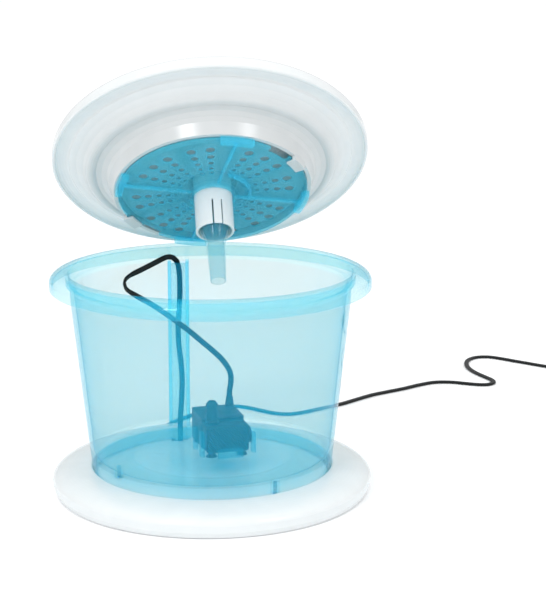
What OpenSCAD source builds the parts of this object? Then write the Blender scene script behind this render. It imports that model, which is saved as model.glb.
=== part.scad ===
// Pet water fountain: a clear tank on a domed base, a pump on its floor, and a dish lid
// with a filter under it. The lid is drawn tipped back on the rear of the tank's rim.
// Origin: middle of the base on the table. X to the right, -Y to the front, Z up.

/* [Base] */
// Largest radius of the domed base ring
base_r = 127; // [124:0.5:132]
// Height of the base ring
base_h = 21; // [20:0.5:23]
// Underside of the plate that the tank stands on
plate_z = 9.5; // [8.5:0.5:9.5]
// Number of ribs under the plate
base_ribs = 12; // [6:6:12]

/* [Tank] */
// Height of the tank's rim above the table
rim_z = 177.5; // [176:0.5:179]
// Radius of the opening
opening_r = 111; // [110:0.5:112]
// Outer radius of the turned-out rim
rim_r = 126; // [124:0.5:128]
// Outer radius of the wall under the rim
wall_top_r = 110.2; // [109:0.1:110.5]
// Outer radius of the wall above the base
wall_low_r = 96; // [95:0.5:97]
// Top of the tank's floor
floor_z = 26; // [25:0.5:27]
// Thickness of the wall
wall_t = 2.8; // [2.4:0.1:3]

/* [Cord duct] */
// Middle of the duct, across
duct_x = -27.4; // [-29:0.1:-26]
// Clear width of the duct
duct_w = 12.4; // [11:0.1:13]
// Top of the duct's front plate
duct_top = 163; // [160:0.5:163]

/* [Lid] */
// Outer radius of the lid
lid_r = 125; // [124:0.5:126]
// Angle that the lid is tipped back by
lid_open = 41.2; // [0:0.1:41.2]
// Length of the riser tube under the lid's edge
riser_drop = 108.9; // [107:0.1:109]
// Outer radius of the white collar
collar_r = 14.9; // [14.5:0.1:15]
// Depth of the collar under the lid's edge
collar_drop = 65.4; // [62:0.1:67]

/* [Filter cover] */
// Radius of the perforated disc
cover_r = 72.5; // [71:0.5:73]
// Depth of the cover's outer face under the lid's edge
cover_drop = 29.6; // [29:0.1:30]
// Direction of the first spoke
spoke_at = 14; // [10:1:18]
// Rows of holes in each quarter
hole_rows = 5; // [3:1:5]

/* [Pump] */
// Turn of the pump on the floor
pump_turn = 14; // [10:1:18]
// Width of the pump
pump_w = 35; // [33:0.5:36]
// Top of the pump's housing
pump_top = 54; // [53:0.5:54.5]
// Top of the outlet
outlet_top = 70.1; // [66:0.1:70.1]

/* [Cord] */
// Width of the flat cord
cord_w = 4.6; // [4:0.1:4.8]
// Thickness of the flat cord
cord_t = 2.6; // [2.2:0.1:2.6]
// Outer radius of the coil, to the middle of the cord
coil_r = 33; // [31:0.5:34]
// Step of the coil from turn to turn
coil_step = 5.2; // [5.1:0.1:5.4]

/* [Hidden] */
$fn = 120;

white = "#EEF1F2";
blue = [0.42, 0.77, 0.86, 0.45];
blue_solid = "#4FB9D6";
black = "#1E2629";
rubber = "#3A3F42";
steel = "#B9BEC2";
felt = "#8D9296";

// where the lid turns: at the back of the rim, a little askew, as it is held
hinge = [0, 123.4, 172];
hinge_heading = 3.25;
hinge_dip = 1.91;
hinge_axis = [cos(hinge_dip) * cos(hinge_heading), cos(hinge_dip) * sin(hinge_heading), -sin(hinge_dip)];

plate_top = plate_z + 2.5;
foot_at = 106;
boss_at = 75;
boss_turns = [70, 190, 310];
exit_turn = 17.5;
exit_z = 5;
pump_depth = 38;
pump_low = 29.5;
chamber_front = -13;
chamber_back = 4;
chamber_top = 52;
rotor_x = 10.25;
rotor_z = 40.5;
dial_y = -4;
gland_top = 62;
chamber_r = 74.5;
chamber_drop = 27.2;
hook_turns = [150, 330];
hole_places = [[60, 3.1], [50.5, 2.5], [42, 2.1], [34.8, 1.7], [28.8, 1.3]];
hole_turns = [13, 27, 41, 60, 74];

// the cord's own route, in the tank and down the duct; [x, y, z]
cord_in_tank = [
    [14.5, 42.8, 62], [14.5, 42.8, 66.5], [15.8, 43, 74], [15, 43.8, 82.5], [9.5, 45, 91.5],
    [2, 46, 99], [-8, 47, 107.5], [-18, 48, 116], [-28, 49.5, 123.5], [-38, 52, 130.5],
    [-48, 55.2, 136.6], [-58, 59.6, 141.4], [-66.9, 63.8, 145.9], [-70.1, 66.4, 148.5],
    [-71.3, 69.8, 151.6], [-70.1, 73.4, 154.7], [-66.9, 76.2, 156.9], [-58, 81.2, 160.5],
    [-48.7, 86.7, 164.2], [-39.4, 92.5, 168], [-35.3, 95.1, 168.7], [-31.4, 97.7, 167.5],
    [-28.6, 99.6, 164.2], [-27.2, 100.3, 159.7], [-26.4, 99.7, 152]];
cord_in_duct = [
    [-26.4, 99.7, 152], [-26.2, 98, 138], [-27, 96.3, 123], [-28, 94.8, 108], [-27.5, 93.3, 93],
    [-25.8, 91.8, 78], [-25, 90.3, 63], [-25.6, 88.8, 48], [-26.6, 87.2, 34], [-27, 86, 23],
    [-27, 85.6, 15], [-27.4, 86.8, 10], [-28.5, 90.3, 6.3], [-30, 95, 5], [-33.1, 104.9, 5],
    [-36, 114.3, 5]];
// at its turn on the left the cord shows its edge
turn_from = 12;
turn_to = 16;
turn_side = [-0.1, 0.65, -0.75];
// the lead on the table, from the grommet to the coil
lead_route = [
    [-39.2, 124.4, 5], [-41.4, 131.8, 4.4], [-42.8, 141.5, 2.8], [-42.4, 152.5, 1.8],
    [-39, 164.5, 1.5], [-32.5, 176.5, 1.5], [-23, 189, 1.5], [-11.5, 202, 1.5], [0, 214, 1.5], [12, 223, 1.5], [24.5, 222.5, 1.5],
    [36.5, 215.5, 1.5], [48, 205.5, 1.5], [59, 197.5, 1.5], [71, 195, 1.5], [83, 199.5, 1.5],
    [96, 208.5, 1.5], [110, 218, 1.5], [124, 229, 1.5], [138, 242.5, 1.5], [153, 256.5, 1.5],
    [169, 267.5, 1.5], [186, 278.5, 1.5], [203, 291.5, 1.5], [219, 300.5, 1.5], [235, 300.5, 1.5],
    [249, 295, 1.5], [261, 290.5, 1.5], [270.5, 290.5, 1.5], [277, 297.5, 1.5], [276.5, 308, 1.5],
    [271.5, 320, 1.5], [266, 333, 1.5], [262, 347, 1.5], [260.5, 361, 1.5], [262, 375, 1.5],
    [266.5, 388, 1.5], [276, 397.5, 1.5], [288.5, 398.5, 1.5], [300.5, 391, 1.5], [312, 381, 1.5],
    [324, 371.2, 1.5], [336, 361.2, 1.5], [347.5, 351.2, 1.9], [355.4, 343.9, 2.3], [359.65, 339.65, 2.4]];
coil_at = [383, 363];
coil_from = 225;
coil_low = 2.4;
coil_lift = 3.1;
turns_in = 2;
turns_out = 1.875;
coil_dip = 2;
climb = 45;
coil_rings = 105;
tail_route = [[0, 0, 0], [0, 8, 0], [0, 16, -0.1], [0, 24, -0.6], [0, 32, -1.1], [0, 38, -1.3]];
cord_section = [[2.3, 0.55], [1.55, 1.3], [-1.55, 1.3], [-2.3, 0.55],
                [-2.3, -0.55], [-1.55, -1.3], [1.55, -1.3], [2.3, -0.55]];
coil_section = [[2.3, 0], [1.4, 1.3], [-1.4, 1.3], [-2.3, 0], [-1.4, -1.3], [1.4, -1.3]];

function unit(v) = v / norm(v);
function arc(c, a, b, from, to, n = 8) =
    [for (i = [0:n]) let (t = from + (to - from) * i / n) [c[0] + a * cos(t), c[1] + b * sin(t)]];
function tangent(p, i) = unit(p[min(i + 1, len(p) - 1)] - p[max(i - 1, 0)]);
function rings(p, widths, section) = [
    for (i = [0:len(p) - 1])
        let (t = tangent(p, i), w = unit(widths[i] - (widths[i] * t) * t), h = cross(t, w))
        for (s = section) p[i] + s[0] * w + s[1] * h];
function skin(n, m) = concat(
    [for (i = [0:n - 2]) for (j = [0:m - 1]) [i * m + j, i * m + (j + 1) % m, (i + 1) * m + j]],
    [for (i = [0:n - 2]) for (j = [0:m - 1])
        [i * m + (j + 1) % m, (i + 1) * m + (j + 1) % m, (i + 1) * m + j]],
    [for (j = [1:m - 2]) [0, j + 1, j]],
    [for (j = [1:m - 2]) [(n - 1) * m, (n - 1) * m + j, (n - 1) * m + j + 1]]);
module cord_tube(p, widths, section) {
    polyhedron(points = rings(p, widths, section), faces = skin(len(p), len(section)), convexity = 8);
}
// in the tank the cord shows its flat side to the front, on the table it lies flat
function standing(p) = [for (i = [0:len(p) - 1]) let (t = tangent(p, i), w = [t[2], 0, -t[0]])
    i < turn_from ? -w : i > turn_to ? w : turn_side];
function lying(p) = [for (i = [0:len(p) - 1]) let (t = tangent(p, i)) [t[1], -t[0], 0]];

// the coil: in on the lower layer, up in the half turn where it reverses, out on the upper one
coil_turn_back = 360 * turns_in + 90;
coil_end = 360 * (turns_in + 0.5 + turns_out);
function coil_radius(a) =
    let (u = abs(a - coil_turn_back), k = min(u / 90, 1))
        coil_r - coil_step * (coil_turn_back - u) / 360 - coil_dip * (1 - k * k) * (1 - k * k);
function coil_height(a) =
    let (k = min(max((a - coil_turn_back + climb) / (2 * climb), 0), 1))
        coil_low + coil_lift * k * k * (3 - 2 * k);
function coil_point(a) = [
    coil_at[0] + coil_radius(a) * cos(coil_from + a),
    coil_at[1] + coil_radius(a) * sin(coil_from + a),
    coil_height(a)];
coil_path = [for (i = [0:coil_rings]) coil_point(coil_end * i / coil_rings)];
coil_gap = min([for (a = [0:5:coil_end - 360]) for (b = [a + 360:360:coil_end])
    max(abs(coil_radius(a) - coil_radius(b)) - cord_w, abs(coil_height(a) - coil_height(b)) - cord_t)]);
echo(coil_least_gap_mm = coil_gap);
tail_start = [coil_at[0] + coil_radius(coil_end), coil_at[1], coil_low + coil_lift];
tail_path = [for (p = tail_route) tail_start + p];
plug_start = tail_path[len(tail_path) - 1];

// a rectangle with round corners, from its lower left corner
module round_rect(w, d, r) {
    translate([r, 0]) square([w - 2 * r, d]);
    translate([0, r]) square([w, d - 2 * r]);
    for (x = [r, w - r]) for (y = [r, d - r]) translate([x, y]) circle(r = r, $fn = 48);
}
module at_pump() {
    rotate([0, 0, pump_turn]) children();
}
// a cylinder along the pump's own y
module along(x, y, z, r, l) {
    translate([x, y, z]) rotate([-90, 0, 0]) cylinder(r = r, h = l, $fn = 64);
}
// from the lid's seat on the rim to its tipped place
module tipped() {
    translate(hinge) rotate(a = -lid_open, v = hinge_axis) translate(-hinge)
        translate([0, 0, rim_z]) children();
}

module base_ring() {
    outline = concat(
        [[0, plate_z], [0, plate_top], [97.2, plate_top], [97.2, base_h - 1.5]],
        arc([99, 10.5], base_r - 99, base_h - 10.5, 90, 0, 12),
        [[base_r - 0.6, 5], [base_r - 2.8, 0.8], [base_r - 5.5, 0.8], [base_r - 3.8, 5]],
        arc([99, 10], base_r - 102.2, base_h - 13.2, 0, 87, 10),
        [[100.2, plate_z]]);
    color(white) difference() {
        union() {
            rotate_extrude() polygon(outline);
            for (i = [0:base_ribs - 1]) rotate([0, 0, i * 360 / base_ribs])
                translate([20, -1, 3]) cube([81, 2, plate_z - 2.9]);
            difference() {
                translate([0, 0, 3]) cylinder(r = 61, h = plate_z - 2.9);
                translate([0, 0, 2]) cylinder(r = 59, h = plate_z);
            }
            for (a = [45:90:315]) rotate([0, 0, a]) translate([foot_at, 0, 1.6]) cylinder(r = 8.6, h = 15.8);
        }
        for (a = [45:90:315]) rotate([0, 0, a]) translate([foot_at, 0, 1]) cylinder(r = 6.8, h = 2.6);
        for (a = boss_turns) rotate([0, 0, a]) translate([boss_at, 0, 5]) cylinder(r = 1.9, h = 10);
        translate([duct_x - 7, 81, plate_z - 1]) cube([14, 15, 5]);
        rotate([0, 0, exit_turn]) along(0, 105, exit_z, 3.4, 30);
    }
}

module base_feet() {
    color(rubber) for (a = [45:90:315]) rotate([0, 0, a]) translate([foot_at, 0, 0])
        rotate_extrude() polygon([[0, 0], [5.8, 0], [6.6, 0.8], [6.6, 3.6], [0, 3.6]]);
}

module base_screws() {
    color(steel) for (a = boss_turns) rotate([0, 0, a]) translate([boss_at, 0, 0]) {
        translate([0, 0, 7.3]) cylinder(r = 3.2, h = 2.2, $fn = 48);
        translate([0, 0, 9.4]) cylinder(r = 1.5, h = 12, $fn = 48);
    }
}

// the solid that the tank's outer skin closes, and the space inside its wall
module tank_outside() {
    rotate_extrude() polygon(concat(
        [[0, 12], [94.8, 12], [95.4, 20], [wall_low_r, 24.5], [109.5, 150], [wall_top_r, 164],
         [opening_r + 2.3, 168], [opening_r + 2.3, 174.4]],
        [[opening_r + 2, rim_z], [0, rim_z]]));
}
module tank_inside() {
    rotate_extrude() polygon([
        [0, 11], [93.3, 11], [93.7, 24], [94.4, 36], [wall_top_r - wall_t - 0.2, 166], [opening_r + 0.4, 168],
        [opening_r + 0.4, rim_z + 4], [0, rim_z + 4]]);
}
// what the seated lid leaves free over the duct's walls
module under_lid() {
    rotate_extrude() polygon([
        [0, 11], [112, 11], [112, rim_z - 0.7], [111, rim_z - 0.7], [106, rim_z - 2.9],
        [101, rim_z - 6.2], [96, rim_z - 11], [0, rim_z - 11]]);
}
module duct_block() {
    side = duct_w / 2 + 2.6;
    translate([duct_x - side, 0, 0]) rotate([90, 0, 90]) linear_extrude(2 * side) polygon([
        [80.6, 14], [96, duct_top], [96.8, rim_z - 1], [112, rim_z - 1], [112, 14]]);
}
module duct_space() {
    translate([duct_x - duct_w / 2, 0, 0]) rotate([90, 0, 90]) linear_extrude(duct_w) polygon([
        [82.6, 10], [98.2, duct_top], [92, duct_top], [92, rim_z + 3], [120, rim_z + 3], [120, 10]]);
}
module tank() {
    outline = concat(
        [[0, floor_z - 3], [0, floor_z], [63, floor_z], [63.8, floor_z + 1.2], [84, floor_z + 1.8]],
        arc([84, floor_z + 10], 10.4, 8.2, -82, 0, 7),
        [[wall_top_r - wall_t - 0.2, 166], [wall_top_r - wall_t, 167.6], [opening_r - 0.4, 168.2]],
        arc([opening_r + 2, rim_z - 2], 2, 2, 180, 90, 5),
        arc([opening_r + 2, rim_z - 8], rim_r - opening_r - 2, 8, 85, 0, 10),
        [[rim_r, 164.8], [rim_r - 0.8, 164], [rim_r - 1.8, 164], [rim_r - 2.4, 164.8]],
        arc([opening_r + 2.3, rim_z - 8.4], rim_r - opening_r - 4.7, 5.4, 0, 90, 8),
        [[opening_r + 2.3, 168], [wall_top_r, 164], [109.5, 150], [wall_low_r, 24.5], [95.4, 20],
         [94.8, 12], [92.2, 12], [92.6, 21.5], [91, floor_z - 3]]);
    color(blue) difference() {
        union() {
            rotate_extrude() polygon(outline);
            intersection() {
                duct_block();
                tank_outside();
                under_lid();
            }
            for (a = boss_turns) rotate([0, 0, a]) translate([boss_at, 0, plate_top])
                cylinder(r = 3.7, h = floor_z - plate_top - 1, $fn = 48);
            at_pump() {
                translate([-11.6, 12, floor_z - 1]) cube([3.2, 6, 20]);
                translate([-11.6, -10, floor_z - 1]) cube([3.2, 6, 22]);
                translate([1, -17.6, floor_z - 1]) cube([20, 3.2, 9]);
                translate([31.2, -8, floor_z - 1]) cube([3, 6, 18]);
                translate([6, 44, floor_z - 1]) cube([10, 3, 12]);
            }
        }
        intersection() {
            duct_space();
            tank_inside();
        }
        translate([duct_x - duct_w, 90, duct_top]) cube([2 * duct_w, 9.4, 20]);
        for (a = boss_turns) rotate([0, 0, a]) translate([boss_at, 0, 5]) cylinder(r = 1.5, h = 17, $fn = 48);
    }
}

module pump_body() {
    color(black) at_pump() difference() {
        union() {
            translate([-7, chamber_back, pump_low]) linear_extrude(pump_top - pump_low)
                round_rect(pump_w, pump_depth, 3);
            translate([9, 33, pump_top - 1]) cylinder(r = 4, h = 1.6, $fn = 48);
        }
        along(rotor_x, chamber_back - 1, rotor_z, 7.4, 28.2);
        difference() {
            along(rotor_x, chamber_back - 1, rotor_z, 11.8, 2.2);
            along(rotor_x, chamber_back - 2, rotor_z, 9.8, 4);
        }
        translate([24.4, 38, pump_top - 6]) cylinder(r = 2.6, h = 8, $fn = 48);
        translate([0, 0, chamber_top]) cylinder(r = 6.2, h = 8, $fn = 64);
    }
}

module pump_front_cover() {
    color(black) at_pump() difference() {
        union() {
            translate([-7, chamber_front + 2, pump_low]) linear_extrude(chamber_top - pump_low)
                round_rect(pump_w, chamber_back - chamber_front - 2, 3);
            for (i = [0:6]) translate([-5 + i * 5, chamber_front, pump_low + 2])
                cube([2, 3, chamber_top - pump_low - 4]);
            translate([-6, chamber_front + 0.4, rotor_z + 6]) cube([33, 3, 2]);
        }
        along(rotor_x, chamber_front + 4.6, rotor_z, 9.8, 20);
        for (i = [0:3]) translate([-3 + 5 * (i + 1), chamber_front + 1, rotor_z - 6.5])
            cube([3, 5, 11]);
        translate([0, 0, rotor_z]) cylinder(r = 2.8, h = 20, $fn = 48);
        along(rotor_x, chamber_front + 3, rotor_z, 1.1, 5);
    }
}

module pump_outlet() {
    color(black) rotate_extrude() polygon([
        [2.8, chamber_top], [6, chamber_top], [6, chamber_top + 2], [4.4, chamber_top + 3],
        [4.1, 66], [3.3, outlet_top - 0.6], [3, outlet_top], [2.3, outlet_top], [2.8, 60]]);
}

module pump_gasket() {
    color(rubber) at_pump() difference() {
        along(rotor_x, chamber_back, rotor_z, 11.6, 1);
        along(rotor_x, chamber_back - 1, rotor_z, 10, 3);
    }
}

module pump_feet() {
    color(rubber) at_pump() for (p = [[-2, -6], [23, -6], [-2, 37], [23, 37]])
        translate([p[0], p[1], floor_z]) rotate_extrude() polygon([
            [0, 1.4], [3.4, 0], [4.6, 0], [2.6, 2.4], [2.6, pump_low - floor_z], [0, pump_low - floor_z]]);
}

module impeller() {
    color(white) at_pump() difference() {
        union() {
            along(rotor_x, -5.6, rotor_z, 3, 10.6);
            for (i = [0:5]) translate([rotor_x, -5.6, rotor_z]) rotate([0, i * 60, 0])
                translate([2, 0, -0.7]) cube([6.6, 6.4, 1.4]);
        }
        along(rotor_x, -8, rotor_z, 1.3, 14);
    }
}

module rotor_magnet() {
    color("#50565A") at_pump() difference() {
        along(rotor_x, 5, rotor_z, 6.4, 22);
        along(rotor_x, 4, rotor_z, 1.3, 24);
    }
}

module impeller_shaft() {
    color("#F4F1EA") at_pump() along(rotor_x, -9.9, rotor_z, 1, 40.5);
}

module impeller_bushes() {
    color(rubber) at_pump() for (y = [chamber_front + 4.6, 28.8]) difference() {
        along(rotor_x, y, rotor_z, 2.4, 2.4);
        along(rotor_x, y - 0.01, rotor_z, 1, 2.42);
    }
}

module flow_dial() {
    color("#39444A") at_pump() translate([pump_w - 6.9, dial_y, rotor_z + 1]) rotate([0, 90, 0]) {
        cylinder(r = 6.6, h = 2, $fn = 64);
        translate([-6, -0.8, 1]) cube([12, 1.6, 1.6]);
    }
}

module cord_gland() {
    color(rubber) translate([0, 0, 0]) at_pump() translate([24.4, 38, 0]) rotate_extrude() polygon([
        [0, pump_top - 6], [2.5, pump_top - 6], [2.5, pump_top], [3.6, pump_top],
        [3.6, pump_top + 1.6], [2.7, gland_top], [0, gland_top]]);
}

module cord_inner() {
    color(black) cord_tube(
        concat(cord_in_tank, [for (i = [1:len(cord_in_duct) - 1]) cord_in_duct[i]]),
        concat(standing(cord_in_tank), [for (i = [1:len(cord_in_duct) - 1]) [-1, 0, 0]]),
        cord_section);
}

module cord_grommet() {
    color(rubber) rotate([0, 0, exit_turn]) translate([0, 0, exit_z]) rotate([-90, 0, 0])
        rotate_extrude() polygon([
            [0, 119.8], [4.1, 119.8], [4.1, 121.3], [3.2, 121.3], [3.2, 127.2],
            [4.1, 127.2], [4.1, 128.6], [3, 130.4], [0, 130.4]]);
}

module cord_outer() {
    color(black) cord_tube(lead_route, lying(lead_route), cord_section);
}

module cord_coil() {
    color(black) cord_tube(coil_path, lying(coil_path), coil_section);
}

module cord_tail() {
    color(black) cord_tube(tail_path, lying(tail_path), cord_section);
}

module coil_tie() {
    mid = coil_r - 1.25 * coil_step;
    color(rubber) translate([coil_at[0], coil_at[1] + mid, 0]) rotate([0, -90, 0]) difference() {
        translate([0.2, -6.9, -2]) cube([7.4, 13.8, 4]);
        translate([0.8, -6.3, -3]) cube([6.3, 12.6, 6]);
    }
}

module plug_grip() {
    color(black) translate(plug_start) rotate([-90, 0, 0]) {
        rotate_extrude() polygon([[0, 0], [2.6, 0], [3, 4], [3.6, 12.5], [0, 12.5]]);
        translate([-7.5, -4, 12]) linear_extrude(21) round_rect(15, 8, 2.4);
    }
}

module plug_shell() {
    color(steel) translate(plug_start) difference() {
        translate([-6, 33, -2.25]) cube([12, 12, 4.5]);
        translate([-5.6, 36, -0.2]) cube([11.2, 10, 2.1]);
    }
}

module lid_dish() {
    outline = concat(
        // top of the dish: spout bowl, dome, trough, rim
        [[8.1, 2], [8.1, 6.5]], arc([8.1, 12.5], 7, 6, -85, 0, 5), arc([16.6, 13.2], 1.5, 1.5, 180, 0, 6),
        arc([26, 13.2], 7.9, 8.8, 180, 264, 6),
        [[48, 2.9], [66, 1.2], [76, -0.6]], arc([76, -7], 7, 6.4, 80, 20, 4),
        arc([92, -3.4], 7.4, 4.2, 230, 310, 6),
        [[102.5, -1]], arc([113, 6.5], 9, 8, 205, 110, 6), arc([113, 4.5], 12, 10, 88, 0, 10),
        // edge and underside: flank, lowest ring, filter chamber
        [[lid_r, 0.9], [lid_r - 0.8, 0], [lid_r - 2.2, 0], [lid_r - 2.8, 0.6]],
        arc([117, 0.4], 5, 1.2, 20, 160, 5),
        [[111.4, -0.2], [106, -2.3], [101, -5.6]], arc([93, -5], 7, 5.6, -25, -110, 6),
        [[86.5, -11.6], [82.6, -14], [80.6, -17.5], [chamber_r + 3, -chamber_drop],
         [chamber_r, -chamber_drop], [chamber_r + 1.6, -4], [66, -2], [48, -0.2], [17.3, 1.6],
         [17.3, -8], [15, -8], [15, 2]]);
    color(white) tipped() difference() {
        union() {
            rotate_extrude($fn = 160) polygon(outline);
            for (a = hook_turns) rotate([0, 0, a]) hook();
        }
        for (i = [0:35]) rotate([0, 0, i * 10]) translate([61, -1.1, -6]) cube([11, 2.2, 12]);
    }
}
// reaches over the edge of the filter cover
module hook() {
    rotate([0, 0, -6]) rotate_extrude(angle = 12) polygon([
        [chamber_r + 0.4, -24], [chamber_r + 3.6, -24], [chamber_r + 3.2, -cover_drop - 2.2],
        [cover_r - 3, -cover_drop - 2.2], [cover_r - 3, -cover_drop - 0.5],
        [chamber_r + 0.4, -cover_drop - 0.5]]);
}

module riser_collar() {
    color(white) tipped() difference() {
        rotate_extrude() polygon([
            [12.9, 1.9], [14.9, 1.9], [collar_r, -collar_drop + 0.6], [collar_r - 0.6, -collar_drop],
            [collar_r - 1.5, -collar_drop], [collar_r - 2, -collar_drop + 0.5]]);
        for (a = [265, 293]) rotate([0, 0, a]) translate([10, -0.6, -collar_drop - 1]) cube([8, 1.2, 22.4]);
    }
}

module riser_tube() {
    color(blue_solid) tipped() rotate_extrude() polygon([
        [6.4, 8], [7.9, 8], [7.9, 6.6], [7.7, 6], [7.7, -50], [12.5, -55.5], [12.5, -59],
        [8.6, -72.6], [8.2, -73.4], [7.5, -74], [6.05, -riser_drop], [5.3, -riser_drop],
        [6.2, -73], [10.9, -58.6], [10.9, -56.4], [6.4, -50.4]]);
}

module filter_pad() {
    color(felt) tipped() rotate_extrude() polygon([
        [17.8, -10.5], [17.8, -26.6], [73.4, -26.6], [74.4, -24], [75, -11.5], [72, -8.5], [19, -8.5]]);
}

module filter_cover() {
    under = cover_drop;
    color(blue_solid) tipped() difference() {
        union() {
            translate([0, 0, -under]) cylinder(r = cover_r, h = 2);
            translate([0, 0, -under - 1.4]) difference() {
                cylinder(r = 25.5, h = 2);
                translate([0, 0, -1]) cylinder(r = 20, h = 4);
            }
            translate([0, 0, -under - 5]) cylinder(r = 18.4, h = 6);
            for (i = [0:3]) rotate([0, 0, spoke_at + 90 * i]) {
                translate([17, -0.8, -under - 2.2]) cube([54.5, 1.6, 3]);
                rotate([0, 0, -10]) rotate_extrude(angle = 20) polygon([
                    [cover_r - 2.6, -under + 0.4], [cover_r - 2.6, -under - 3.4], [cover_r - 1, -under - 3.4],
                    [cover_r + 0.6, -under - 1], [cover_r + 2, -under - 1],
                    [cover_r + 2, -under + 1.4], [cover_r - 0.5, -under + 1.4]]);
            }
            rotate([0, 0, 295]) rotate_extrude(angle = 78) polygon([
                [28.6, -under + 0.4], [28.6, -under - 3.4], [30, -under - 3.4], [30, -under + 0.4]]);
        }
        translate([0, 0, -under - 6]) cylinder(r = collar_r + 0.4, h = 12);
        for (q = [0:3]) for (k = [0:hole_rows - 1]) rotate([0, 0, spoke_at + 90 * q + hole_turns[k]])
            for (h = hole_places) translate([h[0], 0, -under - 4]) cylinder(r = h[1], h = 8, $fn = 24);
        for (a = hook_turns) rotate([0, 0, a - 24]) rotate_extrude(angle = 16) polygon([
            [cover_r - 3.6, -under - 2], [cover_r + 4, -under - 2],
            [cover_r + 4, -under + 4], [cover_r - 3.6, -under + 4]]);
    }
}

base_ring();
base_feet();
base_screws();
tank();
pump_body();
pump_front_cover();
pump_outlet();
pump_gasket();
pump_feet();
impeller();
rotor_magnet();
impeller_shaft();
impeller_bushes();
flow_dial();
cord_gland();
cord_inner();
cord_grommet();
cord_outer();
cord_coil();
cord_tail();
coil_tie();
plug_grip();
plug_shell();
lid_dish();
riser_collar();
riser_tube();
filter_pad();
filter_cover();
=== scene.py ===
import math

import bmesh
import bpy
from mathutils import Matrix, Vector, noise


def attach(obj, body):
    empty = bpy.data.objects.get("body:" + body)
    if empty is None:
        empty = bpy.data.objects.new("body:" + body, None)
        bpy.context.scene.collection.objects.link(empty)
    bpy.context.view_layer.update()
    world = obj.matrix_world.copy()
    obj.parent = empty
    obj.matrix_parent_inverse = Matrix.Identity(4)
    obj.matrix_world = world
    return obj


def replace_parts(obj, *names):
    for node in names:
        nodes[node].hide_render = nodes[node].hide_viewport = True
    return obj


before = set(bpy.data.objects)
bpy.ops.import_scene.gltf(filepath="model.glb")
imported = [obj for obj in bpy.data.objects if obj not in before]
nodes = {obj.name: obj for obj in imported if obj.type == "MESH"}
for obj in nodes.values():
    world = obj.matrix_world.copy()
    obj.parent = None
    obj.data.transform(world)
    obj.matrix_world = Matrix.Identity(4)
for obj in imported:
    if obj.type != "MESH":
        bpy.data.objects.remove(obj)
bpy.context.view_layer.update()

scene = bpy.context.scene
mm = 0.001

# camera and light

view = {
    "place": (0, -1.29217, 0.43722),
    "pitch": 12.44,  # degrees down
    "yaw": 2.16,  # degrees to the right
    "lens": 100.99,
    "sensor": 36,
    "bounces": 24,  # enough for light to pass all the clear walls
}
camera = bpy.data.objects.new("camera", bpy.data.cameras.new("camera"))
camera.data.lens = view["lens"]
camera.data.sensor_width = view["sensor"]
camera.location = view["place"]
camera.rotation_euler = (math.radians(90 - view["pitch"]), 0, math.radians(-view["yaw"]))
scene.collection.objects.link(camera)
scene.camera = camera
scene.view_settings.view_transform = "Standard"
scene.cycles.max_bounces = view["bounces"]
scene.cycles.transmission_bounces = view["bounces"]
scene.cycles.transparent_max_bounces = view["bounces"]


def linearFromHex(code):
    def channel(c):
        c = int(c, 16) / 255
        return c / 12.92 if c < 0.04045 else ((c + 0.055) / 1.055) ** 2.4
    return (*(channel(code[i:i + 2]) for i in (1, 3, 5)), 1)


def addNode(tree, kind, settings=None, links=None):
    # settings are inputs by name or number, or else the node's own properties
    node = tree.nodes.new(kind)
    for name, value in (settings or {}).items():
        if isinstance(name, int) or name in node.inputs:
            node.inputs[name].default_value = value
        else:
            setattr(node, name, value)
    for name, source in (links or {}).items():
        tree.links.new(source, node.inputs[name])
    return node


studio = {
    "skyTop": 1.24,
    "skyLow": 0.5,
    "floorSize": 40,
    "floor": "#F7F8F9",
    "floorGlow": 0.1,
    "floorFront": (-0.28, -1.4),  # the floor fades a little from here towards the viewer: painted shade
    "frontShade": 0.62,
    "keyPlace": (-0.9, -1.5, 1.7),
    "keySize": 0.6,
    "keyPower": 15,
    "fillPlace": (1.3, -1.2, 1.3),
    "fillSize": 0.5,
    "fillPower": 6,
    "aim": (0, 0, 0.15),
}


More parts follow.
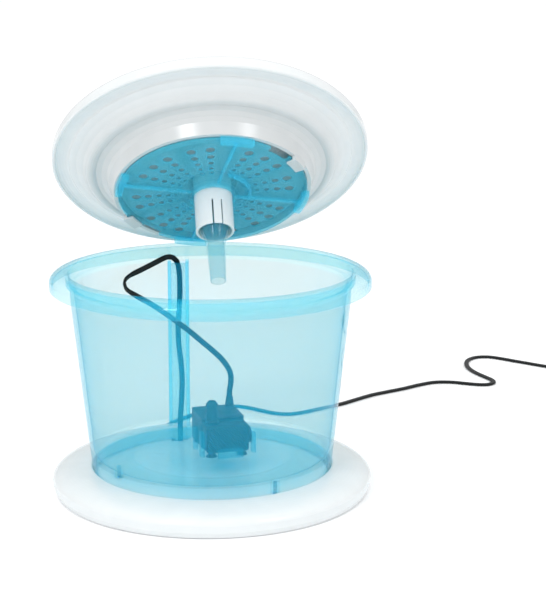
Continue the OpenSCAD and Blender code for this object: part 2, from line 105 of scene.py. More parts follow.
def lightStudio():
    world = bpy.data.worlds.new("studio")
    world.use_nodes = True
    scene.world = world
    tree = world.node_tree
    sky = tree.nodes["Background"]
    sky.inputs["Color"].default_value = (1, 1, 1, 1)
    place = addNode(tree, "ShaderNodeTexCoord")
    parts = addNode(tree, "ShaderNodeSeparateXYZ", links={"Vector": place.outputs["Generated"]})
    level = addNode(tree, "ShaderNodeMapRange", {
        "From Min": 0, "From Max": 1, "To Min": studio["skyLow"], "To Max": studio["skyTop"],
    }, {"Value": parts.outputs["Z"]})
    tree.links.new(level.outputs["Result"], sky.inputs["Strength"])
    for name in ("key", "fill"):
        lamp = bpy.data.lights.new(name, "AREA")
        lamp.size = studio[name + "Size"]
        lamp.energy = studio[name + "Power"]
        holder = bpy.data.objects.new(name, lamp)
        holder.location = studio[name + "Place"]
        aim = Vector(studio["aim"]) - holder.location
        holder.rotation_euler = aim.to_track_quat("-Z", "Y").to_euler()
        scene.collection.objects.link(holder)
    bm = bmesh.new()
    bmesh.ops.create_grid(bm, x_segments=2, y_segments=2, size=studio["floorSize"] / 2)
    floorMesh = bpy.data.meshes.new("floor")
    bm.to_mesh(floorMesh)
    bm.free()
    floor = bpy.data.objects.new("floor", floorMesh)
    scene.collection.objects.link(floor)
    paper = bpy.data.materials.new("studioPaper")
    paper.use_nodes = True
    tree = paper.node_tree
    shader = tree.nodes["Principled BSDF"]
    shader.inputs["Roughness"].default_value = 1
    shader.inputs["Specular IOR Level"].default_value = 0
    shader.inputs["Emission Color"].default_value = (1, 1, 1, 1)
    place = addNode(tree, "ShaderNodeTexCoord")
    parts = addNode(tree, "ShaderNodeSeparateXYZ", links={0: place.outputs["Object"]})
    # painted shade on the floor: its colour and glow fall off towards the viewer
    shade = addNode(tree, "ShaderNodeMapRange", {
        "interpolation_type": "SMOOTHSTEP", "From Min": studio["floorFront"][0],
        "From Max": studio["floorFront"][1], "To Min": 1, "To Max": studio["frontShade"],
    }, {"Value": parts.outputs["Y"]})
    tone = addNode(tree, "ShaderNodeVectorMath",
                   {"operation": "SCALE", 0: linearFromHex(studio["floor"])[:3]},
                   {"Scale": shade.outputs["Result"]})
    glow = addNode(tree, "ShaderNodeMath", {"operation": "MULTIPLY", 1: studio["floorGlow"]},
                   {0: shade.outputs["Result"]})
    tree.links.new(tone.outputs["Vector"], shader.inputs["Base Color"])
    tree.links.new(glow.outputs[0], shader.inputs["Emission Strength"])
    floorMesh.materials.append(paper)


lightStudio()
print("camera and light are set")

# materials


def newMaterial(name, **sockets):
    material = bpy.data.materials.new(name)
    material.use_nodes = True
    shader = material.node_tree.nodes["Principled BSDF"]
    for socket, value in sockets.items():
        shader.inputs[socket.replace("_", " ")].default_value = value
    return material, material.node_tree, shader


def grain(tree, shader, size, depth, tones, detail, rough):
    # a noise, its size and depth in mm, that tints, roughens and dents the surface
    place = addNode(tree, "ShaderNodeTexCoord")
    cloud = addNode(tree, "ShaderNodeTexNoise", {"Scale": 1 / (size * mm), "Detail": detail},
                    {"Vector": place.outputs["Object"]})
    dent = addNode(tree, "ShaderNodeBump", {"Strength": 1, "Distance": depth * mm},
                   {"Height": cloud.outputs["Fac"]})
    tone = addNode(tree, "ShaderNodeMix", {
        "data_type": "RGBA", 6: linearFromHex(tones[0]), 7: linearFromHex(tones[1]),
    }, {0: cloud.outputs["Fac"]})
    level = addNode(tree, "ShaderNodeMapRange", {"To Min": rough[0], "To Max": rough[1]},
                    {"Value": cloud.outputs["Fac"]})
    tree.links.new(dent.outputs["Normal"], shader.inputs["Normal"])
    tree.links.new(tone.outputs[2], shader.inputs["Base Color"])
    tree.links.new(level.outputs["Result"], shader.inputs["Roughness"])


def whiteAbs(name="whiteAbs"):
    # moulded ABS, cool white and glossy, with the faint waviness of a polished mould
    material, tree, shader = newMaterial(name, IOR=1.52)
    grain(tree, shader, size=14, depth=0.02, tones=("#DFE3E4", "#E6E9EA"), detail=1,
          rough=(0.2, 0.27))
    return material


# the tipped lid: its rim's height when closed, and how it is tipped over the tank's rear rim
lid = {
    "seat": (0, 0, 177.5),
    "hinge": (0, 123.4, 172),
    "axis": (0.997837, 0.056661, -0.03333),
    "tip": -41.2,
    "paintedShadeInside": (90, 116),  # radii in mm between which the painted shade inside the dish gives way to the lip
    # how far the painted shade darkens the dish's colour
    "paintedShade": 0.8,
}


def lidPlace():
    # from the closed lid's own frame, its rim at 0, into the tipped rest pose
    hinge = Vector(lid["hinge"]) * mm
    turn = Matrix.Rotation(math.radians(lid["tip"]), 4, Vector(lid["axis"]))
    return (Matrix.Translation(hinge) @ turn @ Matrix.Translation(-hinge)
            @ Matrix.Translation(Vector(lid["seat"]) * mm))


def aroundAxis(tree, point):
    # how far a point is from the upright axis
    flat = addNode(tree, "ShaderNodeVectorMath", {"operation": "MULTIPLY", 1: (1, 1, 0)},
                   {0: point})
    far = addNode(tree, "ShaderNodeVectorMath", {"operation": "LENGTH"}, {0: flat.outputs[0]})
    return far.outputs["Value"]


def dishAbsPaintedShade():
    # the same ABS on the lid, darkened inside its lip with painted shade for the shade under the
    # tipped lid
    material = whiteAbs("dishAbsPaintedShade")
    tree = material.node_tree
    base = tree.nodes["Principled BSDF"].inputs["Base Color"]
    place, turn, _ = lidPlace().inverted().decompose()
    point = addNode(tree, "ShaderNodeTexCoord")
    own = addNode(tree, "ShaderNodeMapping", {"Location": place, "Rotation": turn.to_euler()},
                  {"Vector": point.outputs["Object"]})
    # painted shade: the colour is scaled down inside the lip, by distance from the lid's axis
    paintedShade = addNode(tree, "ShaderNodeMapRange", {
        "interpolation_type": "SMOOTHSTEP", "From Min": lid["paintedShadeInside"][0] * mm,
        "From Max": lid["paintedShadeInside"][1] * mm, "To Min": lid["paintedShade"], "To Max": 1,
    }, {"Value": aroundAxis(tree, own.outputs[0])})
    tone = addNode(tree, "ShaderNodeVectorMath", {"operation": "SCALE"},
                   {0: base.links[0].from_socket, "Scale": paintedShade.outputs["Result"]})
    tree.links.new(tone.outputs["Vector"], base)
    return material


# the clear plastic
clearPlastic = {
    "edge": "#A6D8E4",  # what a face lets through when seen along it
    "edgePower": 8,
    "deep": "#00D7EA",
    "density": 15,
    "gloss": 0.08,
    "mirror": 1.3,
}
# zones of the tank, ranges in mm, and what each face lets through there: a deeper tint where the
# tabs and the duct's sides are seen on edge, a lighter one at the floor
tankZones = {
    "disc": {"Z": (-1, 29), "R": (-1, 63.4), "passes": "#FFF6F0"},
    "ring": {"Z": (-1, 29.5), "R": (63.4, 140), "passes": "#FAF3EC"},
    "tabs": {"Z": (26.3, 60), "R": (-1, 62), "passes": "#CFE2E4"},
    "duct": {"X": (-36.3, -18.5), "Y": (74, 140), "Z": (26, 163.2), "passes": "#E4EAE6"},
    "ductLeft": {"X": (-36.3, -33.5), "Y": (74, 140), "Z": (26, 177), "passes": "#B4DCE2"},
    "ductRight": {"X": (-21.3, -18.5), "Y": (74, 140), "Z": (26, 177), "passes": "#B4DCE2"},
    "rim": {"Z": (164, 190), "passes": "#EBEBE3"},
}


def zoneMask(tree, coordinates, zone):
    mask = None
    for axis in "XYZR":
        if axis not in zone:
            continue
        for kind, edge in zip(("GREATER_THAN", "LESS_THAN"), zone[axis]):
            side = addNode(tree, "ShaderNodeMath", {"operation": kind, 1: edge * mm},
                           {0: coordinates[axis]}).outputs[0]
            mask = side if mask is None else addNode(
                tree, "ShaderNodeMath", {"operation": "MULTIPLY"}, {0: mask, 1: side}).outputs[0]
    return mask


def clearSan(name, walls, veils, zones=()):
    # SAN moulded clear with a little blue dye: it veils dark things behind it in blue and lets
    # white through almost unchanged. Its rim and every edge seen along the wall are deeper
    material, tree, shader = newMaterial(name)
    tree.nodes.remove(shader)
    place = addNode(tree, "ShaderNodeTexCoord")
    parts = addNode(tree, "ShaderNodeSeparateXYZ", links={0: place.outputs["Object"]})
    coordinates = {axis: parts.outputs[axis] for axis in "XYZ"}
    coordinates["R"] = aroundAxis(tree, place.outputs["Object"])
    slant = addNode(tree, "ShaderNodeLayerWeight", {"Blend": 0.5})
    along = addNode(tree, "ShaderNodeMath", {"operation": "POWER", 1: clearPlastic["edgePower"]},
                    {0: slant.outputs["Facing"]})
    tints = [(zone["passes"], zoneMask(tree, coordinates, zone)) for zone in zones]
    tints.append((clearPlastic["edge"], along.outputs[0]))
    tone = None
    for tint, mask in tints:
        before = tone
        tone = addNode(tree, "ShaderNodeMix", {
            "data_type": "RGBA", 6: linearFromHex(walls), 7: linearFromHex(tint),
        }, {0: mask})
        if before:
            tree.links.new(before.outputs[2], tone.inputs[6])
    passed = addNode(tree, "ShaderNodeBsdfTransparent", links={0: tone.outputs[2]})
    back = addNode(tree, "ShaderNodeBsdfDiffuse", {"Color": linearFromHex(veils)})
    onward = addNode(tree, "ShaderNodeBsdfTranslucent", {"Color": linearFromHex(veils)})
    veil = addNode(tree, "ShaderNodeAddShader", links={0: back.outputs[0], 1: onward.outputs[0]})
    wall = addNode(tree, "ShaderNodeAddShader", links={0: passed.outputs[0], 1: veil.outputs[0]})
    mirror = addNode(tree, "ShaderNodeFresnel", {"IOR": clearPlastic["mirror"]})
    side = addNode(tree, "ShaderNodeNewGeometry")
    outer = addNode(tree, "ShaderNodeMath", {"operation": "SUBTRACT", 0: 1},
                    {1: side.outputs["Backfacing"]})
    share = addNode(tree, "ShaderNodeMath", {"operation": "MULTIPLY"},
                    {0: mirror.outputs[0], 1: outer.outputs[0]})
    gloss = addNode(tree, "ShaderNodeBsdfGlossy", {"Roughness": clearPlastic["gloss"]})
    skin = addNode(tree, "ShaderNodeMixShader",
                   links={0: share.outputs[0], 1: wall.outputs[0], 2: gloss.outputs[0]})
    depth = addNode(tree, "ShaderNodeVolumeAbsorption", {
        "Color": linearFromHex(clearPlastic["deep"]), "Density": clearPlastic["density"],
    })
    finish = tree.nodes["Material Output"]
    tree.links.new(skin.outputs[0], finish.inputs["Surface"])
    tree.links.new(depth.outputs[0], finish.inputs["Volume"])
    return material


def pumpNylon(name="pumpNylon"):
    # glass-filled nylon from a spark-eroded mould: dark, dry and finely pitted
    material, tree, shader = newMaterial(name, IOR=1.35)
    grain(tree, shader, size=0.6, depth=0.05, tones=("#101A20", "#1A272E"), detail=4,
          rough=(0.38, 0.55))
    return material


ribs = {
    "apart": 3,  # mm along each axis
    "high": 0.35,
    "period": 0.628,  # of a wave texture at a scale of 1
}


def ribbedNylon():
    # the same nylon with the fine slanting ribs of the pump's front
    material = pumpNylon("pumpLattice")
    tree = material.node_tree
    place = addNode(tree, "ShaderNodeTexCoord")
    wave = addNode(tree, "ShaderNodeTexWave", {
        "wave_type": "BANDS", "bands_direction": "DIAGONAL",
        "Scale": ribs["period"] / (ribs["apart"] * mm),
    }, {"Vector": place.outputs["Object"]})
    dent = addNode(tree, "ShaderNodeBump", {"Strength": 1, "Distance": ribs["high"] * mm},
                   {"Height": wave.outputs["Fac"]})
    tree.links.new(dent.outputs["Normal"], tree.nodes["Principled BSDF"].inputs["Normal"])
    return material


def cordPvc():
    # soft PVC sheath, black with a dull shine
    material, tree, shader = newMaterial("cordPvc", IOR=1.32)
    grain(tree, shader, size=1.5, depth=0.02, tones=("#0B0E0F", "#15191B"), detail=2,
          rough=(0.38, 0.5))
    return material


def epdmRubber():
    # moulded EPDM rubber, matt and a little dusty
    material, tree, shader = newMaterial("epdmRubber", IOR=1.5)
    grain(tree, shader, size=0.8, depth=0.04, tones=("#1B1E1F", "#272B2D"), detail=4,
          rough=(0.65, 0.85))
    return material


def platedSteel():
    # nickel-plated steel, bright, with fine drawing lines
    material, tree, shader = newMaterial("platedSteel", Metallic=1)
    grain(tree, shader, size=0.7, depth=0.01, tones=("#B4B7B8", "#D2D4D4"), detail=2,
          rough=(0.18, 0.32))
    return material


def aluminaCeramic():
    # ground alumina, ivory, smooth
    material, tree, shader = newMaterial("aluminaCeramic", IOR=1.7)
    grain(tree, shader, size=0.5, depth=0.01, tones=("#E9E4D8", "#F2EEE4"), detail=2,
          rough=(0.22, 0.3))
    return material


def ferrite():
    # sintered ferrite, dark grey, slightly grainy
    material, tree, shader = newMaterial("ferrite", IOR=1.8)
    grain(tree, shader, size=0.5, depth=0.03, tones=("#2A2D30", "#3B3F43"), detail=4,
          rough=(0.4, 0.6))
    return material


def filterFleece():
    # grey needled fleece: short fibres, soft and uneven
    material, tree, shader = newMaterial("filterFleece", IOR=1.5, Sheen_Weight=0.3)
    grain(tree, shader, size=1.6, depth=0.5, tones=("#666E72", "#B4BBBE"), detail=6,
          rough=(0.85, 1))
    return material


materials = {
    "abs": whiteAbs(),
    "dish": dishAbsPaintedShade(),
    "tankSan": clearSan("tankSan", "#ECE7DF", "#00495C", tankZones.values()),
    "tubeSan": clearSan("tubeSan", "#EDEBE4", "#003F52"),
    "coverSan": clearSan("coverSan", "#CBDADA", "#2A6571"),
    "lattice": ribbedNylon(),
    "pump": pumpNylon(),
    "cord": cordPvc(),
    "rubber": epdmRubber(),
    "steel": platedSteel(),
    "ceramic": aluminaCeramic(),
    "ferrite": ferrite(),
    "fleece": filterFleece(),
}
nodeMaterials = {
    "base_ring": "abs", "base_feet": "rubber", "base_screws": "steel", "tank": "tankSan",
    "pump_body": "pump", "pump_front_cover": "pump", "pump_outlet": "pump",
    "pump_gasket": "rubber", "pump_feet": "rubber", "impeller": "pump", "rotor_magnet": "ferrite",
    "impeller_shaft": "ceramic", "impeller_bushes": "rubber", "flow_dial": "pump",
    "cord_gland": "rubber", "cord_grommet": "rubber", "coil_tie": "rubber", "plug_grip": "cord",
    "plug_shell": "steel", "lid_dish": "dish", "riser_collar": "abs", "riser_tube": "tubeSan",
    "filter_pad": "fleece", "filter_cover": "coverSan",
}
for name, key in nodeMaterials.items():
    mesh = nodes[name].data
    mesh.materials.clear()
    mesh.materials.append(materials[key])
print("materials are made")


def finishMesh(bm, name, material, body, smooth=40):
    # a built mesh becomes a piece, shaded smooth up to an angle in degrees
    bmesh.ops.recalc_face_normals(bm, faces=bm.faces[:])
    mesh = bpy.data.meshes.new(name)
    bm.to_mesh(mesh)
    bm.free()
    mesh.materials.append(materials[material])
    mesh.shade_smooth()
    mesh.set_sharp_from_angle(angle=math.radians(smooth))
    piece = bpy.data.objects.new(name, mesh)
    scene.collection.objects.link(piece)
    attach(piece, body)
    return piece


# cords

cord = {
    "width": 4.6,
    "thickness": 2.6,
    "roundWide": 0.75,  # 1 would be an oval, less is squarer
    "roundThick": 0.6,
    "groove": 0.3,  # between the two cores, a share of the thickness
    "grooveWidth": 0.5,
    "ringStep": 3.2,
    "sides": 16,
    "inTank": [
        (14.5, 42.8, 62), (14.5, 42.8, 66.5), (15.8, 43, 74), (15, 43.8, 82.5), (9.5, 45, 91.5),
        (2, 46, 99), (-8, 47, 107.5), (-18, 48, 116), (-28, 49.5, 123.5), (-38, 52, 130.5),
        (-48, 55.2, 136.6), (-58, 59.6, 141.4), (-66.9, 63.8, 145.9), (-70.1, 66.4, 148.5),
        (-71.3, 69.8, 151.6), (-70.1, 73.4, 154.7), (-66.9, 76.2, 156.9), (-58, 81.2, 160.5),
        (-48.7, 86.7, 164.2), (-39.4, 92.5, 168), (-35.3, 95.1, 168.7), (-31.4, 97.7, 167.5),
        (-28.6, 99.6, 164.2), (-27.2, 100.3, 159.7), (-26.4, 99.7, 152),
    ],
    "inDuct": [
        (-26.2, 98, 138), (-27, 96.3, 123), (-28, 94.8, 108), (-27.5, 93.3, 93),
        (-25.8, 91.8, 78), (-25, 90.3, 63), (-25.6, 88.8, 48), (-26.6, 87.2, 34), (-27, 86, 23),
        (-27, 85.6, 15), (-27.4, 86.8, 10), (-28.5, 90.3, 6.3), (-30, 95, 5), (-33.1, 104.9, 5),
        (-36, 114.3, 5),
    ],
    "turn": (12, 16),  # the points between which the cord shows its edge
    "turnSide": (-0.1, 0.65, -0.75),
    "onTable": [
        (-39.2, 124.4, 5), (-41.4, 131.8, 4.4), (-42.8, 141.5, 2.8), (-42.4, 152.5, 1.8),
        (-39, 164.5, 1.5), (-32.5, 176.5, 1.5), (-23, 189, 1.5), (-11.5, 202, 1.5), (0, 214, 1.5),
        (12, 223, 1.5), (24.5, 222.5, 1.5), (36.5, 215.5, 1.5), (48, 205.5, 1.5),
        (59, 197.5, 1.5), (71, 195, 1.5), (83, 199.5, 1.5), (96, 208.5, 1.5), (110, 218, 1.5),
        (124, 229, 1.5), (138, 242.5, 1.5), (153, 256.5, 1.5), (169, 267.5, 1.5),
        (186, 278.5, 1.5), (203, 291.5, 1.5), (219, 300.5, 1.5), (235, 300.5, 1.5),
        (249, 295, 1.5), (261, 290.5, 1.5), (270.5, 290.5, 1.5), (277, 297.5, 1.5),
        (276.5, 308, 1.5), (271.5, 320, 1.5), (266, 333, 1.5), (262, 347, 1.5),
        (260.5, 361, 1.5), (262, 375, 1.5), (266.5, 388, 1.5), (276, 397.5, 1.5),
        (288.5, 398.5, 1.5), (300.5, 391, 1.5), (312, 381, 1.5), (324, 371.2, 1.5),
        (336, 361.2, 1.5), (347.5, 351.2, 1.9), (355.4, 343.9, 2.3),
    ],
    "coilMiddle": (383, 363),
    "coilRadius": 33,
    "coilStep": 5.2,
    "coilFrom": 225,
    "coilLow": 2.4,
    "coilLift": 3.1,
    "coilDip": 2,
    "climb": 45,
    "turnsIn": 2,
    "turnsOut": 1.875,
    "coilRings": 105,
    "tail": [(0, 8, 0), (0, 16, -0.1), (0, 24, -0.6), (0, 32, -1.1), (0, 38, -1.3)],
}


def coilPoint(angle):
    # the coil winds inwards on the table, turns back and winds outwards on top of itself
    back = 360 * cord["turnsIn"] + 90
    away = abs(angle - back)
    near = min(away / 90, 1)
    radius = (cord["coilRadius"] - cord["coilStep"] * (back - away) / 360
              - cord["coilDip"] * (1 - near * near) ** 2)
    k = min(max((angle - back + cord["climb"]) / (2 * cord["climb"]), 0), 1)
    turn = math.radians(cord["coilFrom"] + angle)
    return Vector((cord["coilMiddle"][0] + radius * math.cos(turn),
                   cord["coilMiddle"][1] + radius * math.sin(turn),
                   cord["coilLow"] + cord["coilLift"] * k * k * (3 - 2 * k)))


def routeTangent(points, i):
    # the direction of a route at one of its points
    return (points[min(i + 1, len(points) - 1)] - points[max(i - 1, 0)]).normalized()


def smoothRoute(points, sides):
    # a curve through the points, with the cord's wide side turned evenly between them
    route, turned = [], []
    for i in range(len(points) - 1):
        a, b = points[i], points[i + 1]
        before = points[i - 1] if i else 2 * a - b
        after = points[i + 2] if i + 2 < len(points) else 2 * b - a
        steps = max(1, round((b - a).length / cord["ringStep"]))
        for j in range(steps):
            t = j / steps
            bend = 2 * before - 5 * a + 4 * b - after
            twist = 3 * a - before - 3 * b + after
            route.append(0.5 * (2 * a + (b - before) * t + bend * t * t + twist * t ** 3))
            turned.append(sides[i].lerp(sides[i + 1], t))
    return route + [points[-1]], turned + [sides[-1]]


def cordSection():
    # two cores side by side: an oval with a shallow groove along both flat faces
    section = []
    for i in range(cord["sides"]):
        turn = 2 * math.pi * i / cord["sides"]
        c, s = math.cos(turn), math.sin(turn)
        x = math.copysign(abs(c) ** cord["roundWide"], c) * cord["width"] / 2
        z = math.copysign(abs(s) ** cord["roundThick"], s) * cord["thickness"] / 2
        groove = cord["groove"] * math.exp(-(x / cord["grooveWidth"]) ** 2)
        section.append((x, z * (1 - groove)))
    return section


def makeCord(name, points, sides):
    route, turned = smoothRoute(points, sides)
    bm = bmesh.new()
    rings = []
    for i, point in enumerate(route):
        along = routeTangent(route, i)
        wide = (turned[i] - turned[i].dot(along) * along).normalized()
        thick = along.cross(wide)
        rings.append([bm.verts.new((point + wide * x + thick * z) * mm) for x, z in cordSection()])
    for a, b in zip(rings, rings[1:]):
        for j in range(len(a)):
            k = (j + 1) % len(a)
            bm.faces.new((a[j], a[k], b[k], b[j]))
    bm.faces.new(rings[0][::-1])
    bm.faces.new(rings[-1])
    piece = finishMesh(bm, name, "cord", "fountain")
    return piece, [p * mm for p in route]


def cordsOfFountain():
    tank = [Vector(p) for p in cord["inTank"]]
    duct = [Vector(p) for p in cord["inDuct"]]
    points = tank + duct
    sides = []
    for i in range(len(points)):
        along = routeTangent(points, i)
        flat = Vector((along.z, 0, -along.x))
        if i >= len(tank):
            sides.append(Vector((-1, 0, 0)))
        elif cord["turn"][0] <= i <= cord["turn"][1]:
            sides.append(Vector(cord["turnSide"]))
        else:
            sides.append((-flat if i < cord["turn"][0] else flat).normalized())
    inner, innerPath = makeCord("cordInTank", points, sides)
    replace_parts(inner, "cord_inner")

    end = 360 * (cord["turnsIn"] + 0.5 + cord["turnsOut"])
    coil = [coilPoint(end * i / cord["coilRings"]) for i in range(cord["coilRings"] + 1)]
    tail = [coil[-1] + Vector(p) for p in cord["tail"]]
    points = [Vector(p) for p in cord["onTable"]] + coil + tail
    sides = []
    for i in range(len(points)):
        along = routeTangent(points, i)
        sides.append(Vector((along.y, -along.x, 0)).normalized())
    outer, outerPath = makeCord("cordOnTable", points, sides)
    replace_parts(outer, "cord_outer", "cord_coil", "cord_tail")
    return outer, outerPath, points[0]


tableCord, tableCordPath, tableCordStart = cordsOfFountain()
print("cords are laid")

# own pieces


def spun(bm, profile, steps, x=0, y=0):
    # an outline of radius and height in mm, carried all the way around
    ring = [bm.verts.new(((x + r) * mm, y * mm, z * mm)) for r, z in profile]
    edges = [bm.edges.new((ring[i - 1], ring[i])) for i in range(len(ring))]
    bmesh.ops.spin(bm, geom=ring + edges, cent=(x * mm, y * mm, 0), axis=(0, 0, 1),
                   angle=2 * math.pi, steps=steps, use_merge=True)
    return bm


def sweep(bm, profile, start, end, steps):
    # the outline carried from one angle to the other, with its ends shut
    rings = []
    for i in range(steps + 1):
        t = math.radians(start + (end - start) * i / steps)
        rings.append([bm.verts.new((r * mm * math.cos(t), r * mm * math.sin(t), z * mm))
                      for r, z in profile])
    for a, b in zip(rings, rings[1:]):
        for j in range(len(a)):
            k = (j + 1) % len(a)
            bm.faces.new((a[j], a[k], b[k], b[j]))
    bm.faces.new(rings[0][::-1])
    bm.faces.new(rings[-1])


def arc(middle, across, high, start, end, steps=8):
    # points of a quarter or half oval, for an outline
    turns = [math.radians(start + (end - start) * i / steps) for i in range(steps + 1)]
    return [(middle[0] + across * math.cos(t), middle[1] + high * math.sin(t)) for t in turns]


# the base's seat, a soft lip that closes in on the tank's foot
seat = {
    "profile": [(95.6, 12.1)] + arc((97.5, 19.8), 1.9, 1.26, 180, 95)
               + [(99.2, 21), (99.6, 20), (97.6, 12.1)],
    "steps": 180,
}
finishMesh(spun(bmesh.new(), seat["profile"], seat["steps"]), "seatLip", "abs", "fountain")

# the filter pad: a needled fleece ring, pressed thin at its rims, uneven between them
pad = {
    "profile": arc((20.4, -17.6), 2.4, 5, 270, 90) + [(24, -11.4), (30, -10.2), (38, -9.8),
               (46, -9.7), (54, -9.8), (62, -10.2), (68, -11.4)]
               + arc((70.6, -17.6), 3.2, 5.6, 90, -90) + [(68, -24.8), (62, -26), (54, -26.3),
               (46, -26.4), (38, -26.3), (30, -26), (24, -24.6)],
    "steps": 96,
    "lumps": 0.45,
    "lumpSize": 7,
    "pressed": 0.6,  # how far the lumps are drawn in, so that none stands proud
    "fine": 0.3,
    "fineSize": 2.2,
}


def makePad():
    bm = spun(bmesh.new(), pad["profile"], pad["steps"])
    bmesh.ops.subdivide_edges(bm, edges=bm.edges[:], cuts=1, use_grid_fill=True)
    bmesh.ops.recalc_face_normals(bm, faces=bm.faces[:])
    bm.normal_update()
    for vert in bm.verts:
        lump = noise.noise(vert.co / (pad["lumpSize"] * mm)) - pad["pressed"]
        fine = noise.noise(vert.co / (pad["fineSize"] * mm)) * pad["fine"]
        vert.co += vert.normal * (lump + fine) * pad["lumps"] * mm
    bm.transform(lidPlace())
    piece = finishMesh(bm, "filterPad", "fleece", "lid", 180)
    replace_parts(piece, "filter_pad")


makePad()
print("pad and seat are made")


# the pump's body: the CAD shape with the soft edges of a moulding
pumpBody = {
    "soft": 0.9,
    "merge": 0.02,
    "flat": 0.6,  # degrees up to which two facets are one face
    "edge": 30,  # degrees from which an edge is rounded
    "segments": 3,
}


def makePumpBody():
    bm = bmesh.new()
    bm.from_mesh(nodes["pump_body"].data)
    bm.transform(nodes["pump_body"].matrix_world)
    bmesh.ops.remove_doubles(bm, verts=bm.verts[:], dist=pumpBody["merge"] * mm)
    bmesh.ops.dissolve_limit(bm, angle_limit=math.radians(pumpBody["flat"]), verts=bm.verts[:],
                             edges=bm.edges[:])
    edges = [e for e in bm.edges if len(e.link_faces) == 2
             and e.calc_face_angle(0) > math.radians(pumpBody["edge"])]
    bmesh.ops.bevel(bm, geom=edges, offset=pumpBody["soft"] * mm, offset_type="OFFSET",
                    affect="EDGES", segments=pumpBody["segments"], profile=0.5, material=-1,
                    clamp_overlap=True)
    bmesh.ops.triangulate(bm, faces=[f for f in bm.faces if len(f.verts) > 4])
    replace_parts(finishMesh(bm, "pumpBody", "pump", "fountain"), "pump_body")


makePumpBody()

# the pump's front: a rounded cap, open at its back, with fine slanting ribs
front = {
    "low": (-7, -11.6, 29.5),
    "high": (28, 4, 52),
    "round": 2.6,
    "segments": 5,
    "wall": 1.4,
    "slack": 0.1,  # the faces this near to the back are taken out
    "turn": 14,
}


def makeFront():
    bm = bmesh.new()
    low, high = Vector(front["low"]), Vector(front["high"])
    middle, size = (low + high) / 2, high - low
    bmesh.ops.create_cube(bm, size=1, matrix=Matrix.Translation(middle * mm)
                          @ Matrix.Diagonal((*(size * mm), 1)))
    edges = [e for e in bm.edges if min(v.co.y for v in e.verts) < middle.y * mm]
    bmesh.ops.bevel(bm, geom=edges, offset=front["round"] * mm, offset_type="OFFSET",
                    affect="EDGES", segments=front["segments"], profile=0.5, material=-1)
    rear = (high.y - front["slack"]) * mm
    back = [f for f in bm.faces if all(v.co.y > rear for v in f.verts)]
    bmesh.ops.delete(bm, geom=back, context="FACES")
    bmesh.ops.recalc_face_normals(bm, faces=bm.faces[:])
    bmesh.ops.solidify(bm, geom=bm.faces[:], thickness=front["wall"] * mm)
    bm.transform(Matrix.Rotation(math.radians(front["turn"]), 4, "Z"))
    piece = finishMesh(bm, "pumpFront", "lattice", "fountain", 30)
    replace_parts(piece, "pump_front_cover")


makeFront()

# the pump's outlet: a flange and a straight nozzle, drawn in at its mouth for the riser tube
outlet = {
    "profile": [(2.8, 52), (5.7, 52), (6, 52.3), (6, 53.6), (5.6, 54.1), (5.1, 54.6), (4.9, 55.4),
                (4.8, 67.4), (4.5, 68), (3.4, 69.3), (3, 70), (2.5, 70), (2.4, 69.6), (2.8, 60)],
    "steps": 48,
}
pumpOutlet = finishMesh(spun(bmesh.new(), outlet["profile"], outlet["steps"]), "pumpOutlet",
                        "pump", "fountain")
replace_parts(pumpOutlet, "pump_outlet")
print("pump housings are made")

# the filter cover: a perforated disc with spokes, four grips, a hub and a guard around the spout
cover = {
    "plate": [(15.5, -34), (15.9, -34.5), (17.9, -34.5), (18.4, -34), (18.7, -31.2), (19.4, -30.4),
              (20.2, -30.4), (20.4, -30.8), (20.8, -31), (25, -31), (25.4, -30.6), (25.8, -29.6),
              (71.4, -29.6), (71.9, -30.3), (73.6, -30.4), (74.2, -29.9), (74.3, -27.9),
              (74, -27.5), (72.8, -27.5), (72.3, -28.5), (19, -28.5), (18.6, -28.6),
              (15.9, -28.6), (15.5, -29)],
    "steps": 180,
    "holes": [(60, 3.9), (50.5, 3.2), (42, 2.6), (34.8, 2.1), (28.8, 1.6)],
    "holeTurns": (13, 27, 41, 60, 74),
    "holeSides": 20,
    "holeDepth": (-28.6, 6),  # middle and length of what is cut out
    "lip": [(0, -29.5), (0, -29.85), (0.45, -29.85), (0.6, -29.5)],  # from the hole's edge
    "spokeAt": 14,
    "spoke": ((44.5, 0, -30.7), (54, 2, 2.4)),  # middle and size
    "spokeSoft": 0.4,
    "spokeSegments": 2,
    "grip": [(70.4, -29), (70.7, -32.6), (71.3, -33.1), (75.6, -33.1), (76.3, -32.6),
             (76.5, -28.3), (76.1, -27.9), (71, -28.2)],
    "gripHalf": 10,
    "gripSteps": 10,
    "guard": [(28.5, -29.4), (28.6, -32.7), (28.9, -33), (29.8, -33), (30.1, -32.7),
              (30.2, -29.4)],
    "guardTurns": (295, 373),
    "guardSteps": 30,
    "hooks": (150, 330),
    "notch": [(69, -35), (80, -35), (80, -25), (69, -25)],
    "notchTurns": (-24, -8),
    "notchSteps": 6,
}


def holePlaces():
    # the middle and radius of every hole
    for quarter in range(4):
        for turn in cover["holeTurns"]:
            t = math.radians(cover["spokeAt"] + 90 * quarter + turn)
            for far, size in cover["holes"]:
                yield Vector((far * math.cos(t), far * math.sin(t), 0)), size


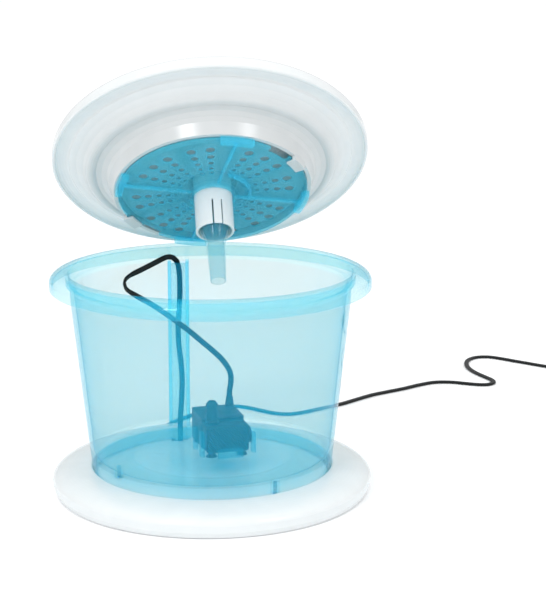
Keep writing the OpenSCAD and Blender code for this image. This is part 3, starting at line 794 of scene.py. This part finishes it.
def addPlate(bm):
    # the disc with its holes and the two notches that pass the lid's hooks
    plate = spun(bmesh.new(), cover["plate"], cover["steps"])
    cutter = bmesh.new()
    height, depth = cover["holeDepth"]
    for place, size in holePlaces():
        spot = Matrix.Translation((place + Vector((0, 0, height))) * mm)
        bmesh.ops.create_cone(cutter, cap_ends=True, segments=cover["holeSides"],
                              radius1=size * mm, radius2=size * mm, depth=depth * mm, matrix=spot)
    for turn in cover["hooks"]:
        start, end = (turn + t for t in cover["notchTurns"])
        sweep(cutter, cover["notch"], start, end, cover["notchSteps"])
    holders = []
    for name, part in (("plate", plate), ("cutter", cutter)):
        bmesh.ops.recalc_face_normals(part, faces=part.faces[:])
        mesh = bpy.data.meshes.new(name)
        part.to_mesh(mesh)
        part.free()
        holders.append(bpy.data.objects.new(name, mesh))
        scene.collection.objects.link(holders[-1])
    cut = holders[0].modifiers.new("holes", "BOOLEAN")
    cut.operation = "DIFFERENCE"
    cut.object = holders[1]
    cut.solver = "EXACT"
    bpy.context.view_layer.update()
    done = holders[0].evaluated_get(bpy.context.evaluated_depsgraph_get())
    bm.from_mesh(done.to_mesh())
    for holder in holders:
        bpy.data.objects.remove(holder)


def addSpoke(bm, turn):
    middle, size = (Vector(v) * mm for v in cover["spoke"])
    place = (Matrix.Rotation(math.radians(turn), 4, "Z") @ Matrix.Translation(middle)
             @ Matrix.Diagonal((*size, 1)))
    made = bmesh.ops.create_cube(bm, size=1, matrix=place)
    edges = list({e for v in made["verts"] for e in v.link_edges})
    bmesh.ops.bevel(bm, geom=edges, offset=cover["spokeSoft"] * mm, offset_type="OFFSET",
                    affect="EDGES", segments=cover["spokeSegments"], profile=0.5, material=-1)


def makeCover():
    bm = bmesh.new()
    for place, size in holePlaces():
        lip = [(size + out, z) for out, z in cover["lip"]]
        spun(bm, lip, cover["holeSides"], place.x, place.y)
    addPlate(bm)
    for quarter in range(4):
        turn = cover["spokeAt"] + 90 * quarter
        addSpoke(bm, turn)
        sweep(bm, cover["grip"], turn - cover["gripHalf"], turn + cover["gripHalf"],
              cover["gripSteps"])
    sweep(bm, cover["guard"], *cover["guardTurns"], cover["guardSteps"])
    bm.transform(lidPlace())
    piece = finishMesh(bm, "filterCover", "coverSan", "cover", 35)
    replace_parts(piece, "filter_cover")


makeCover()
print("filter cover is made")
